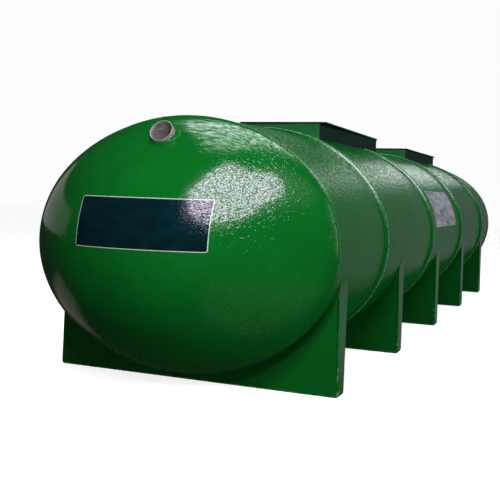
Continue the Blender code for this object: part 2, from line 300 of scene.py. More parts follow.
def resin_coat(
    n, pits=0.9, cover=0.50, gloss=1.0, rough=0.05, waves=1.0, mottle=0.0, graded=False
):
    """The mirror of a brushed resin skin: flat lands between dull pits, over slow waves.

    Cover is the share of pits; mottle breaks long reflections up. Graded skins are smooth on
    the +Y side, lumpy on the -Y side and brushed level on top.
    """
    grain = n.noise(112.0, 3.0, stretch=(1.0, 0.6, 1.25), rough=0.62, warp=0.6)
    lands = n.ramp(grain, cover - 0.06, cover + 0.07)
    if graded:
        top = n.ramp(n.z, *BRUSHED_TOP)
        brushed = n.noise(54.0, 3.0, stretch=(1.0, 0.13, 1.1), rough=0.6, warp=0.3)
        brushed = n.maths("MULTIPLY", n.ramp(brushed, 0.40, 0.68), top)
        lands = n.maths("ADD", n.maths("MULTIPLY", lands, n.less(top)), brushed)
    holes = n.less(lands)
    if graded:
        holes = n.maths("MULTIPLY", holes, n.ramp(n.y, *SMOOTH_SIDE, 1.0, 0.10))
    weight = n.maths("SUBTRACT", gloss, n.maths("MULTIPLY", holes, gloss * pits))
    if mottle:
        dull = n.noise(15.0, 3.0, stretch=(1.0, 2.3, 2.3), rough=0.65)
        dull = n.maths("MULTIPLY", n.ramp(dull, 0.40, 0.58, 0.75, 0.0), n.ramp(n.z, *PATCHY_TOP))
        weight = n.maths("MULTIPLY", weight, n.less(dull))
    n.link(weight, n.shader.inputs["Coat Weight"])
    n.shader.inputs["Specular IOR Level"].default_value = 0.0
    n.shader.inputs["Coat Roughness"].default_value = rough
    n.shader.inputs["Coat IOR"].default_value = 1.5
    soft = n.bump(n.noise(5.5, 2.0, stretch=(1.0, 0.7, 1.6)), 0.0030 * waves, 0.5)
    ripple = n.noise(21.0, 2.0, stretch=(1.0, 0.55, 1.7))
    if graded:
        level = n.noise(24.0, 3.0, stretch=(1.0, 0.22, 1.5), rough=0.6)
        level = n.maths("MULTIPLY", level, n.maths("MULTIPLY", top, 1.5))
        ripple = n.maths("ADD", n.maths("MULTIPLY", ripple, 0.35), level)
    soft = n.bump(ripple, 0.0016 * waves, under=soft)
    if graded:
        lumps = n.ramp(n.noise(46.0, 2.0, stretch=(1.0, 0.8, 1.2)), 0.55, 0.72)
        lumps = n.maths("MULTIPLY", lumps, n.ramp(n.y, *LUMPY_SIDE, 1.0, 0.0))
        soft = n.bump(lumps, 0.0009, under=soft)
    if mottle:
        patches = n.noise(15.0, 3.0, stretch=(1.0, 2.3, 2.3), rough=0.6)
        soft = n.bump(patches, mottle, under=soft)
    n.link(n.bump(holes, -0.0003, under=soft), n.shader.inputs["Normal"])
    n.link(n.bump(holes, -0.0001, under=soft), n.shader.inputs["Coat Normal"])


def plate_face(name, dark, bleached, border, **coat):
    """A printed film with a thin pale edge, laid on the pitted skin; UVs are in metres."""
    n = Skin(name)
    from_side, from_end, _ = n.parts(n.add("ShaderNodeUVMap", uv_map="edge").outputs["UV"])
    nearest = n.maths("MINIMUM", from_side, from_end)
    edge = n.ramp(nearest, PLATE_LINE * 0.75, PLATE_LINE * 1.15, 1.0, 0.0)
    tone = n.ramp(n.noise(7.0, 4.0, stretch=(0.5, 1.0, 1.8), rough=0.6), 0.34, 0.68)
    field = n.mix(tone, tuple(c * 1.5 for c in dark), bleached)
    n.link(n.mix(edge, field, border), n.shader.inputs["Base Color"])
    n.link(n.ramp(n.noise(9.0, 3.0), 0.3, 0.7, 0.30, 0.46), n.shader.inputs["Roughness"])
    resin_coat(n, **coat)
    return n.material


def pipe_plastic(name):
    """Grey pipe plastic, silted inside, scuffed at its rim."""
    n = Skin(name)
    stain = n.ramp(n.noise(14.0, 4.0, rough=0.6), 0.35, 0.7)
    colour = n.mix(stain, (0.15, 0.125, 0.125), (0.31, 0.28, 0.27))
    specks = n.ramp(n.noise(90.0, 3.0), 0.60, 0.72)
    colour = n.mix(specks, colour, (0.62, 0.64, 0.58))
    n.link(colour, n.shader.inputs["Base Color"])
    n.link(n.ramp(n.noise(30.0, 3.0), 0.3, 0.7, 0.34, 0.60), n.shader.inputs["Roughness"])
    n.link(n.bump(n.noise(120.0, 3.0), 0.0004), n.shader.inputs["Normal"])
    return n.material


def pale_floor(name):
    """A plain pale floor that glows enough to look evenly lit."""
    n = Skin(name)
    colour = n.mix(n.ramp(n.noise(0.8, 4.0), 0.3, 0.7), (0.80, 0.80, 0.80), (0.84, 0.84, 0.84))
    n.link(colour, n.shader.inputs["Base Color"])
    n.shader.inputs["Roughness"].default_value = 0.8
    n.link(colour, n.shader.inputs["Emission Color"])
    n.shader.inputs["Emission Strength"].default_value = 1.02
    n.link(n.bump(n.noise(40.0, 3.0), 0.0005), n.shader.inputs["Normal"])
    n.material.cycles.emission_sampling = "NONE"
    return n.material


GREEN = (0.0028, 0.125, 0.0145)
DEEP_GREEN = (0.0020, 0.105, 0.0115)
NAVY = (0.0010, 0.0100, 0.0135)
PALE = (0.42, 0.52, 0.44)
# Share, fineness and colour of pale marks, and the height they fade out at: worn resin on the
# saddles' chipped edges, and a painted highlight along the bands' crests
CHIPS = (0.8, 18.0, (0.16, 0.30, 0.17), 0.30)
# Painted highlight: a pale green speckle over the bands' crest rows
CREST_PAINTED_HIGHLIGHT = (0.85, 48.0, (0.13, 0.42, 0.20), 9.0)

DOME = gelcoat("dome_gelcoat", GREEN, DEEP_GREEN, graded=True)
SHELL = gelcoat("barrel_gelcoat", GREEN, DEEP_GREEN, cover=0.46, waves=0.5, mottle=0.0022)
BAND = gelcoat("band_gelcoat", GREEN, DEEP_GREEN, cover=0.44, rough=0.22, pits=0.8)
SADDLE = gelcoat("saddle_gelcoat", GREEN, DEEP_GREEN, cover=0.34)
WORN_EDGE = gelcoat("worn_edge", GREEN, DEEP_GREEN, wear_and_highlight=CHIPS)
# The bands' crest rows, with the painted highlight in their colour
CREST_HIGHLIGHT_GELCOAT = gelcoat("band_crest_painted_highlight", GREEN, DEEP_GREEN, wear_and_highlight=CREST_PAINTED_HIGHLIGHT, rough=0.22)
COLLAR = gelcoat("collar_gelcoat", GREEN, DEEP_GREEN, gloss=0.15, rough=0.3)
BOX = gelcoat(
    "chamber_gelcoat",
    (0.018, 0.165, 0.045),
    (0.014, 0.135, 0.036),
    dust=0.2,
    # Painted shade on the chamber walls' sides
    painted_side_shade=(0.003, 0.026, 0.017),
    gloss=0.35,
)
LID = gelcoat(
    "lid_gelcoat", (0.003, 0.018, 0.010), (0.002, 0.012, 0.008), dust=0.1, gloss=0.3, rough=0.2
)
END_PLATE = plate_face("end_plate_film", NAVY, NAVY, PALE, graded=True)
SIDE_PLATE = plate_face(
    "side_plate_film", (0.12, 0.14, 0.17), (0.50, 0.53, 0.58), PALE, cover=0.40
)
PIPE = pipe_plastic("pipe_plastic_worn")


# ---------------------------------------------------------------- building calls


def new_object(name, bm, *materials):
    """Turns a bmesh into an object of the scene."""
    mesh = bpy.data.meshes.new(name)
    bm.to_mesh(mesh)
    bm.free()
    for material in materials:
        mesh.materials.append(material)
    obj = bpy.data.objects.new(name, mesh)
    bpy.context.scene.collection.objects.link(obj)
    return obj


def add_piece(name, bm, materials, nodes, sharp=40.0):
    """Turns a bmesh into a dressed piece that stands for CAD nodes."""
    bm.normal_update()
    bmesh.ops.recalc_face_normals(bm, faces=bm.faces)
    obj = new_object(name, bm, *materials)
    obj.data.shade_smooth()
    obj.data.set_sharp_from_angle(angle=math.radians(sharp))
    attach(obj, "root")
    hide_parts(*nodes)
    return obj


def apply_modifiers(obj):
    """Bakes an object's modifiers into its mesh."""
    graph = bpy.context.evaluated_depsgraph_get()
    mesh = bpy.data.meshes.new_from_object(obj.evaluated_get(graph))
    obj.modifiers.clear()
    obj.data = mesh


def waver(x, y, z, pitch, seed=0.0):
    """Smooth noise between -1 and 1 over a wavelength in metres."""
    return noise.noise(Vector((x / pitch + seed, y / pitch, z / pitch)))


def ease(value, low, high):
    """From 0 at low to 1 at high, with no corner at either."""
    part = min(1.0, max(0.0, (value - low) / (high - low)))
    return part * part * (3.0 - 2.0 * part)


def sag_at(angle, x):
    """How far the crown lies low over the near seam."""
    return SAG * ease(math.sin(angle), 0.3, 1.0) * (1.0 - ease(FAR_SEAM - abs(x), 0.05, SAG_REACH))


def oval(angle, grow, x):
    """A point of the tank's section, grown by a distance."""
    y = (HALF_WIDTH + grow) * math.cos(angle)
    z = AXIS_HEIGHT + (HALF_HEIGHT + grow) * math.sin(angle) - sag_at(angle, x)
    return Vector((x, y, z))


def hand_laid(point):
    """How far the skin stands off its ideal form: shallow hollows, never proud."""
    broad = waver(point.x, point.y, point.z, 0.55)
    close = waver(point.x, point.y, point.z, 0.16, 7.0)
    return -LAID_UNDER + LAID_BROAD * broad + LAID_CLOSE * close


def skin_point(angle, x, lift=0.0):
    """A point of the hand-laid skin of the barrel, or a little over it."""
    return oval(angle, lift + hand_laid(oval(angle, 0.0, x)), x)


def slump_at(share, rise):
    """How far the shoulder of a dished end lies below its ideal form."""
    return SAG * ease(share, SLUMP_START, SLUMP_FULL) * ease(rise, 0.3, 1.0)


def dome_point(share, angle, seam, way, grow):
    """A point of a dished end, at a share of the oval's radius."""
    reach = (DOME_DEPTH + grow) * max(0.0, 1.0 - share * share) ** DOME_FULLNESS
    rim = oval(angle, grow, seam)
    y = rim.y * share
    straight = (HALF_HEIGHT + grow) * math.sin(angle)
    z = AXIS_HEIGHT + straight * share - slump_at(share, math.sin(angle))
    return Vector((seam + way * reach, y, z))


def dome_reach_at(y, z):
    """How far a dished end stands out from its seam at Y and Z."""
    slump = 0.0
    for _ in range(4):
        across, up = y / HALF_WIDTH, (z + slump - AXIS_HEIGHT) / HALF_HEIGHT
        share = math.hypot(across, up)
        slump = slump_at(share, up / share)
    return DOME_DEPTH * max(0.0, 1.0 - share * share) ** DOME_FULLNESS


def loft(bm, rings, closed_rings=False, around=True):
    """Quads between equal rings of vertices, or between open lines of them."""
    total = len(rings)
    for index in range(total if closed_rings else total - 1):
        here, there = rings[index], rings[(index + 1) % total]
        count = len(here)
        for side in range(count if around else count - 1):
            after = (side + 1) % count
            bm.faces.new((here[side], here[after], there[after], there[side]))


def rim_of(lines):
    """The vertices round a grid of lines, in order."""
    rim = list(lines[0])
    rim += [line[-1] for line in lines[1:]]
    rim += reversed(lines[-1][:-1])
    rim += [line[0] for line in reversed(lines[1:-1])]
    return rim


def rib_rise(x):
    """Height of the raised bands over the skin at a place along the tank."""
    for place in RIB_PLACES:
        away = abs(x - NEAR_SEAM - place)
        if away < RIB_FOOT / 2:
            flank = (RIB_FOOT / 2 - away) / ((RIB_FOOT - RIB_CREST) / 2)
            return RIB_HEIGHT * min(1.0, flank)
    return 0.0


def crown_height(y):
    """Height of the barrel's top at a place across it."""
    share = min(1.0, abs(y) / HALF_WIDTH)
    return AXIS_HEIGHT + HALF_HEIGHT * math.sqrt(1.0 - share * share)


# ---------------------------------------------------------------- tank skins


def dished_end(name, node, seam, way):
    """A dished end with its thickness, laid up by hand and bored for the pipe."""
    bm = bmesh.new()
    skins = []
    for grow, count in ((0.0, DOME_RINGS), (-WALL, INNER_RINGS)):
        rings = []
        for row in range(count):
            share = math.cos(math.pi / 2 * row / count)
            ring = []
            for side in range(ROUND):
                angle = 2 * math.pi * side / ROUND
                ideal = dome_point(share, angle, seam, way, grow)
                laid = hand_laid(ideal) if grow == 0.0 else 0.0
                ring.append(bm.verts.new(dome_point(share, angle, seam, way, grow + laid)))
            rings.append(ring)
        skins.append(rings)
    outer, inner = skins
    loft(bm, outer)
    loft(bm, inner)
    loft(bm, [inner[0], outer[0]])
    for rings, grow in ((outer, -LAID_UNDER), (inner, -WALL)):
        tip = bm.verts.new((seam + way * (DOME_DEPTH + grow), 0.0, AXIS_HEIGHT))
        last = rings[-1]
        for side in range(ROUND):
            bm.faces.new((last[side], last[(side + 1) % ROUND], tip))
    obj = add_piece(name, bm, [DOME], [node])
    bore = bore_tool(seam, way)
    cut = obj.modifiers.new("bore", "BOOLEAN")
    cut.operation = "DIFFERENCE"
    cut.solver = "EXACT"
    cut.object = bore
    apply_modifiers(obj)
    bpy.data.objects.remove(bore, do_unlink=True)


def pipe_point(seam, way, radius, angle, depth):
    """A point round the leaning pipe, at a depth behind its rim."""
    lean = math.radians(PIPE_LEAN)
    rise = radius * math.sin(angle)
    x = PIPE_REACH - rise * math.sin(lean) - depth * math.cos(lean)
    z = PIPE_HEIGHT + rise * math.cos(lean) - depth * math.sin(lean)
    return Vector((seam + way * x, PIPE_SIDE + radius * math.cos(angle), AXIS_HEIGHT + z))


def pipe_ring(bm, seam, way, radius, depth, wobble=0.0):
    """A ring of vertices round the pipe, set back unevenly by up to its wobble."""
    ring = []
    for side in range(PIPE_ROUND):
        angle = 2 * math.pi * side / PIPE_ROUND
        point = pipe_point(seam, way, radius, angle, depth)
        if wobble:
            more = wobble * waver(point.x, point.y, point.z, 0.03, 3.0)
            point = pipe_point(seam, way, radius, angle, depth + max(0.0, more))
        ring.append(bm.verts.new(point))
    return ring


def bore_tool(seam, way):
    """A plug a little wider than the pipe, for cutting its hole."""
    bm = bmesh.new()
    rings = [pipe_ring(bm, seam, way, PIPE_RADIUS + 0.0003, depth) for depth in (-0.1, 0.36)]
    loft(bm, rings)
    for ring in rings:
        bm.faces.new(ring)
    bm.normal_update()
    bmesh.ops.recalc_face_normals(bm, faces=bm.faces)
    return new_object("bore_tool", bm)


def spaced(low, high, step, extra=()):
    """Evenly spaced values, with some exact ones put in."""
    count = max(1, round((high - low) / step))
    values = [low + (high - low) * i / count for i in range(count + 1)]
    keep = [v for v in values if all(abs(v - e) > step * 0.3 for e in extra)]
    keep += [v for v in extra if low < v < high]
    return sorted(set(keep) | {low, high})


def barrel_bay(name, node, x_near, x_far, hatch=None):
    """A length of the barrel with its thickness; a hatch is its two ends and half width."""
    angles = [2 * math.pi * i / ROUND for i in range(ROUND)]
    edges = ()
    if hatch:
        turn = math.acos(hatch[2] / HALF_WIDTH)
        edges = (turn, math.pi - turn)
        step = 2 * math.pi / ROUND
        angles = [a for a in angles if all(abs(a - e) > step * 0.3 for e in edges)]
        angles = sorted(angles + list(edges))
    rows = spaced(x_near, x_far, BAY_STEP, hatch[:2] if hatch else ())
    bm = bmesh.new()
    outer = [[bm.verts.new(skin_point(a, x)) for a in angles] for x in rows]
    inner = [[bm.verts.new(oval(a, -WALL, x)) for a in angles] for x in rows]

    def is_open(row, side):
        """True over the hatch and past the bay's ends."""
        if not hatch or not 0 <= row < len(rows) - 1:
            return row < 0 or row >= len(rows) - 1
        x = (rows[row] + rows[row + 1]) / 2
        after = angles[(side + 1) % len(angles)] or 2 * math.pi
        angle = (angles[side % len(angles)] + after) / 2
        return hatch[0] < x < hatch[1] and edges[0] < angle < edges[1]

    count = len(angles)
    for row in range(len(rows) - 1):
        for side in range(count):
            if is_open(row, side):
                continue
            after = (side + 1) % count
            for skin in (outer, inner):
                bm.faces.new(
                    (skin[row][side], skin[row][after], skin[row + 1][after], skin[row + 1][side])
                )
            for beyond, at in ((row - 1, row), (row + 1, row + 1)):
                if is_open(beyond, side):
                    bm.faces.new(
                        (outer[at][side], outer[at][after], inner[at][after], inner[at][side])
                    )
            for beyond, at in ((side - 1, side), (side + 1, after)):
                if is_open(row, beyond % count):
                    bm.faces.new(
                        (outer[row][at], outer[row + 1][at], inner[row + 1][at], inner[row][at])
                    )
    add_piece(name, bm, [SHELL], [node])


def band(name, node, profile, seed, thumb=0.0016, crest=()):
    """A laid-up band round the tank, from X and height.

    Thumb is the height of its lumps, and crest lists the ring strips that get a painted highlight.
    """
    bm = bmesh.new()
    rings = []
    for index, (x, height) in enumerate(profile):
        ring = []
        for side in range(ROUND):
            angle = 2 * math.pi * side / ROUND
            ideal = oval(angle, 0.0, x)
            lumps = waver(ideal.x * 3, ideal.y, ideal.z, 0.07, seed)
            slow = waver(0.0, ideal.y, ideal.z, 0.5, seed + 3.0)
            if index in (0, len(profile) - 1):
                ring.append(bm.verts.new(oval(angle, height, x)))
            else:
                rise = height - thumb * 0.5 * (1.0 + lumps)
                ring.append(bm.verts.new(oval(angle, rise, x + 0.003 * slow)))
        rings.append(ring)
    loft(bm, rings, closed_rings=True)
    rows = {vert: row for row, ring in enumerate(rings) for vert in ring}
    # Crest rows take the material with the painted highlight
    for face in bm.faces:
        if min(rows[vert] for vert in face.verts) in crest:
            face.material_index = 1
    add_piece(name, bm, [BAND, CREST_HIGHLIGHT_GELCOAT], [node], sharp=60.0)


def rib_profile(x):
    """Steep flanks, rounded shoulders and a nearly flat crest."""
    half, crest = RIB_FOOT / 2, RIB_CREST / 2
    side = [(half, -0.008), (half, 0.0012), (half - 0.0012, 0.0040)]
    for turn in (75, 65, 56, 47, 38, 29, 20, 10, 0):
        angle = math.radians(turn)
        drop = RIB_ROUND * (1.0 - math.cos(angle))
        side.append((crest + RIB_ROUND * math.sin(angle), RIB_HEIGHT - drop))
    side.append((crest * 0.5, RIB_HEIGHT + 0.0006))
    near = [(x - away, height) for away, height in side]
    far = [(x + away, height) for away, height in reversed(side)]
    return near + far


def lip_profile(seam, way):
    """A thin lap that fades out along the barrel."""
    top, reach = LIP_HEIGHT * 0.45, LIP_LENGTH
    return [
        (seam, -0.006),
        (seam, top * 0.65),
        (seam - way * 0.0015, top * 0.93),
        (seam - way * 0.005, top),
        (seam - way * (reach * 0.62), top * 0.97),
        (seam - way * (reach * 0.80), top * 0.70),
        (seam - way * (reach * 0.92), top * 0.25),
        (seam - way * reach, 0.0008),
        (seam - way * reach, -0.006),
    ]


# ---------------------------------------------------------------- saddles


def saddle_side(z):
    """Half the width of a saddle at a height, wider towards its foot."""
    horn = AXIS_HEIGHT - math.sin(math.radians(SADDLE_HORN))
    return SADDLE_HALF + SADDLE_SPREAD * (horn - z) / horn


def saddle_outline():
    """The slab seen from the end, as Y, Z and how far its edge is eased.

    Its horns are faired into the skin and its lower corners are round.
    """
    outline = []
    for index in range(81):
        angle = -math.radians(SADDLE_TIP + (180.0 - 2 * SADDLE_TIP) * index / 80)
        point = oval(angle, 0.0004, 0.0)
        outline.append((point.y, point.z, SADDLE_CRISP))
    flank = []
    for index in range(1, 10):
        rise = -math.sin(math.radians(SADDLE_TIP)) - SADDLE_STEP * index
        skin = HALF_WIDTH * math.sqrt(1.0 - rise * rise)
        proud = SADDLE_FAIRING * ease(index, 0, 4)
        blend = ease(index, 3, 9)
        side = saddle_side(AXIS_HEIGHT + rise)
        out = max(skin + proud, side) * (1.0 - blend) + side * blend
        flank.append((out, AXIS_HEIGHT + rise, SADDLE_CRISP + SADDLE_EASE * ease(index, 4, 9)))
    corner = SADDLE_CORNER
    for index in range(10):
        turn = math.radians(90.0 * index / 9)
        out = saddle_side(corner) - corner + corner * math.cos(turn)
        flank.append((out, corner - corner * math.sin(turn), SADDLE_EASE))
    outline += [(-y, z, eased) for y, z, eased in flank]
    return outline + list(reversed(flank))


def inward_of(outline):
    """Inward directions at the corners of an outline that runs counter-clockwise."""
    ways = []
    for index in range(len(outline)):
        before, after = outline[index - 1], outline[(index + 1) % len(outline)]
        along = Vector((after[0] - before[0], after[1] - before[1])).normalized()
        ways.append((-along.y, along.x))
    return ways


def saddle(name, node):
    """A slab hollowed on top and thinner at its foot, its edges eased and worn pale."""
    low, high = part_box(node)
    outline = saddle_outline()
    inward = inward_of(outline)
    count, last = len(outline), len(EASING_TURNS) - 1

    def ring(turn, is_far):
        """The outline drawn in, at a turn of the easing, on the near or the far edge."""
        sine, cosine = math.sin(math.radians(turn)), math.cos(math.radians(turn))
        verts = []
        for (y, z, eased), (in_y, in_z) in zip(outline, inward):
            y, z = y + in_y * eased * (1.0 - sine), z + in_z * eased * (1.0 - sine)
            x = low[0] + eased * (1.0 - cosine)
            if is_far:
                lean = SADDLE_DRAFT * max(0.0, 1.0 - z / high[2])
                x = high[0] - lean - eased * (1.0 - cosine)
            verts.append(bm.verts.new((x, y, z)))
        return verts

    bm = bmesh.new()
    rings = [ring(turn, False) for turn in EASING_TURNS]
    rings += [ring(turn, True) for turn in reversed(EASING_TURNS)]
    loft(bm, rings)
    bm.faces.ensure_lookup_table()
    for row in range(len(rings) - 1):
        for index in range(count):
            if row != last and outline[index][2] > SADDLE_EASE / 2:
                bm.faces[row * count + index].material_index = 1
    bm.faces.new(rings[0])
    bm.faces.new(list(reversed(rings[-1])))
    bmesh.ops.triangulate(bm, faces=[f for f in bm.faces if len(f.verts) > 4])
    obj = add_piece(name, bm, [SADDLE, WORN_EDGE], [node], sharp=35.0)
    # The flat faces end where the easing starts, so that they shade flat
    flat_rings = {0, last, last + 1, 2 * last + 1}
    for edge in obj.data.edges:
        rows = {vert // count for vert in edge.vertices}
        if len(rows) == 1 and rows <= flat_rings:
            edge.use_edge_sharp = True


# ---------------------------------------------------------------- chambers


def rounded_path(x_near, x_far, half, corner, step=0.03):
    """Points and outward directions round a rectangle with rounded corners."""
    path = []
    corners = (
        (x_far - corner, half - corner, 0.0),
        (x_near + corner, half - corner, 90.0),
        (x_near + corner, -half + corner, 180.0),
        (x_far - corner, -half + corner, 270.0),
    )
    for index, (cx, cy, start) in enumerate(corners):
        for part in range(6):
            turn = math.radians(start + 90.0 * part / 5)
            out = Vector((math.cos(turn), math.sin(turn)))
            path.append((Vector((cx, cy)) + corner * out, out))
        nx, ny, following = corners[(index + 1) % 4]
        out = Vector((math.cos(math.radians(following)), math.sin(math.radians(following))))
        start_at = path[-1][0]
        end_at = Vector((nx, ny)) + corner * out
        count = max(1, round((end_at - start_at).length / step))
        for part in range(1, count):
            path.append((start_at.lerp(end_at, part / count), out))
    return path


def chamber_box(name, nodes, top):
    """The walls of an access chamber, tabbed on to the crown all round."""
    lows, highs = zip(*(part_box(node) for node in nodes))
    x_near = min(low[0] for low in lows)
    x_far = max(high[0] for high in highs)
    half = max(high[1] for high in highs)
    path = rounded_path(x_near, x_far, half, 0.012)
    # Distance out from the wall, height over the crown or of the top, which of the two
    section = (
        (-CHAMBER_WALL, -0.002, False),
        (-CHAMBER_WALL, top, True),
        (-0.003, top, True),
        (0.0, top - 0.003, True),
        (0.0, 0.045, False),
        (0.002, 0.022, False),
        (0.009, 0.009, False),
        (0.024, 0.0035, False),
        (0.040, 0.0022, False),
        (0.041, -0.004, False),
    )
    bm = bmesh.new()
    rings = []
    for out, height, is_top in section:
        ring = []
        for at, away in path:
            ragged = 0.004 * waver(at.x, at.y, 0.0, 0.05, 11.0) if out > 0.02 else 0.0
            spot = at + away * (out + ragged)
            base = crown_height(spot.y) + rib_rise(spot.x)
            z = height if is_top else min(base + height, top - 0.004)
            ring.append(bm.verts.new((spot.x, spot.y, z)))
        rings.append(ring)
    loft(bm, rings, closed_rings=True)
    add_piece(name, bm, [BOX], nodes)


def chamber_lid(name, node, turn):
    """A thin moulded cover with eased edges, slightly dished by its own weight."""
    low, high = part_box(node)
    spin = math.radians(turn)
    cx, cy = (low[0] + high[0]) / 2, (low[1] + high[1]) / 2
    cos, sin = math.cos(spin), math.sin(spin)
    span_x, span_y = high[0] - low[0], high[1] - low[1]
    square = cos * cos - sin * sin
    length = (span_x * cos - span_y * sin) / square
    width = (span_y * cos - span_x * sin) / square
    thick = high[2] - low[2]
    columns, rows = LID_GRID
    inset = 0.005
    bm = bmesh.new()

    def place(u, v, z):
        x, y = (u - 0.5) * length, (v - 0.5) * width
        return (cx + x * cos - y * sin, cy + x * sin + y * cos, z)

    def grid(z_edge, sag, inset):
        """One face of the cover; gives its rim."""
        lines = []
        for row in range(rows + 1):
            line = []
            for column in range(columns + 1):
                u = inset / length + (1 - 2 * inset / length) * column / columns
                v = inset / width + (1 - 2 * inset / width) * row / rows
                bow = (4 * u * (1 - u)) * (4 * v * (1 - v))
                wave = 0.0006 * waver(u * 9, v * 4, 0.0, 1.0, 5.0)
                line.append(bm.verts.new(place(u, v, z_edge - sag * bow + min(0.0, wave))))
            lines.append(line)
        loft(bm, lines, around=False)
        return rim_of(lines)

    def skirt(rim, z, inset):
        """The rim pushed out to the cover's edge, at a height."""
        ring = []
        for vert in rim:
            flat = vert.co.xy - Vector((cx, cy))
            x = (flat.x * cos + flat.y * sin) / (length / 2)
            y = (-flat.x * sin + flat.y * cos) / (width / 2)
            u, v = 0.5 + 0.5 * x, 0.5 + 0.5 * y
            if abs(x) >= 0.985:
                reach = (length / 2 - inset) / (length / 2)
                u = 0.5 + 0.5 * max(-1.0, min(1.0, x * 1.02)) * reach
            if abs(y) >= 0.96:
                reach = (width / 2 - inset) / (width / 2)
                v = 0.5 + 0.5 * max(-1.0, min(1.0, y * 1.05)) * reach
            ring.append(bm.verts.new(place(u, v, z)))
        return ring

    upper = grid(high[2], 0.003, inset)
    lower = grid(low[2], 0.0, inset * 0.6)
    shoulder = skirt(upper, high[2] - thick * 0.30, 0.0004)
    hem = skirt(upper, low[2] + thick * 0.20, 0.0)
    loft(bm, [upper, shoulder, hem, lower])
    add_piece(name, bm, [LID], [node])


# ---------------------------------------------------------------- pipes and plates


def end_pipe(name, node, seam, way):
    """The pipe stub: eased rim, sawn a little unevenly."""
    bm = bmesh.new()
    # Radius, depth behind the rim, unevenness
    section = (
        (PIPE_RADIUS, PIPE_LENGTH, 0.0),
        (PIPE_RADIUS, 0.0050, 0.0),
        (PIPE_RADIUS - 0.0008, 0.0016, 0.0012),
        (PIPE_RADIUS - 0.0024, 0.0002, 0.0012),
        (PIPE_BORE + 0.0022, 0.0002, 0.0012),
        (PIPE_BORE + 0.0006, 0.0016, 0.0012),
        (PIPE_BORE, 0.0050, 0.0),
        (PIPE_BORE, PIPE_LENGTH * 0.5, 0.0),
        (PIPE_BORE, PIPE_LENGTH, 0.0),
    )
    rings = [pipe_ring(bm, seam, way, radius, depth, rough) for radius, depth, rough in section]
    loft(bm, rings, closed_rings=True)
    add_piece(name, bm, [PIPE], [node])


def depth_of_skin(seam, way, radius, angle):
    """How far behind the rim a line along the pipe meets the dished end."""
    low, high = -0.1, PIPE_LENGTH
    for _ in range(30):
        middle = (low + high) / 2
        point = pipe_point(seam, way, radius, angle, middle)
        if way * (point.x - seam) > dome_reach_at(point.y, point.z):
            low = middle
        else:
            high = middle
    return (low + high) / 2


def end_collar(name, node, seam, way):
    """The laminate worked up against the pipe, thinning out on the dished end."""
    bm = bmesh.new()
    lines = []
    for side in range(PIPE_ROUND):
        angle = 2 * math.pi * side / PIPE_ROUND
        root = depth_of_skin(seam, way, PIPE_RADIUS + 0.0004, angle)
        lump = waver(math.cos(angle), math.sin(angle), 0.0, 0.35, 21.0 + way)
        cover = root * (0.42 + 0.10 * lump)
        # Distance out from the pipe, height over the dished end
        section = (
            (0.0004, -0.012),
            (0.0004, cover),
            (0.0030, cover * 0.93),
            (0.0070, cover * 0.55),
            (0.0125, cover * 0.24 + 0.0012),
            (0.0200 + 0.004 * lump, 0.0022),
            (0.0260 + 0.006 * lump, 0.0004),
            (0.0200, -0.012),
        )
        line = []
        for spread, lift in section:
            radius = PIPE_RADIUS + spread
            toe = depth_of_skin(seam, way, radius, angle)
            line.append(bm.verts.new(pipe_point(seam, way, radius, angle, toe - lift)))
        lines.append(line)
    loft(bm, list(zip(*lines)), closed_rings=True)
    add_piece(name, bm, [COLLAR], [node], sharp=60.0)


def plate_sheet(node, material, rows, columns, width, height, surface):
    """A thin sheet with rounded corners; surface(u, v, lift) gives points, in metres."""
    corner = 0.016
    bm = bmesh.new()
    edge_layer = bm.loops.layers.uv.new("edge")
    vs = sorted({i / rows for i in range(rows + 1)} | PLATE_ROWS_BY_THE_EDGE)
    reach = {}
    skins = []
    for lift in (0.0026, -0.0006):
        lines = []
        for v in vs:
            from_edge = min(v, 1.0 - v) * height
            tuck = 0.0
            if from_edge < corner:
                tuck = corner - math.sqrt(corner**2 - (corner - from_edge) ** 2)
            line = []
            for column in range(columns + 1):
                u = (tuck + (width - 2 * tuck) * column / columns) / width
                vert = bm.verts.new(surface(u, v, lift))
                side = min(u * width - tuck, (1.0 - u) * width - tuck)
                reach[vert] = (side, from_edge)
                line.append(vert)
            lines.append(line)
        skins.append(lines)
        loft(bm, lines, around=False)
    loft(bm, [rim_of(lines) for lines in skins])
    for face in bm.faces:
        for loop in face.loops:
            loop[edge_layer].uv = reach[loop.vert]
    add_piece(node + "_sheet", bm, [material], [node])


def end_plate():
    """The plate on the near dished end."""
    low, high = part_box("end_plate")

    def surface(u, v, lift):
        y = low[1] + (high[1] - low[1]) * u
        z = low[2] + (high[2] - low[2]) * v
        x = NEAR_SEAM - dome_reach_at(y, z)
        laid = hand_laid(Vector((x, y, z)))
        return Vector((x - lift - laid, y, z))

    plate_sheet("end_plate", END_PLATE, 24, 66, high[1] - low[1], high[2] - low[2], surface)


def side_plate():
    """The plate on the barrel's visible side."""
    low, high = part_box("side_plate")
    start, stop = math.radians(SIDE_PLATE_FROM), math.radians(SIDE_PLATE_TO)
    radius_there = 1.2
    height = (stop - start) * radius_there

    def surface(u, v, lift):
        angle = math.pi - (start + (stop - start) * v)
        return skin_point(angle, low[0] + (high[0] - low[0]) * u, lift)

    plate_sheet("side_plate", SIDE_PLATE, 16, 60, high[0] - low[0], height, surface)


# ---------------------------------------------------------------- assembly


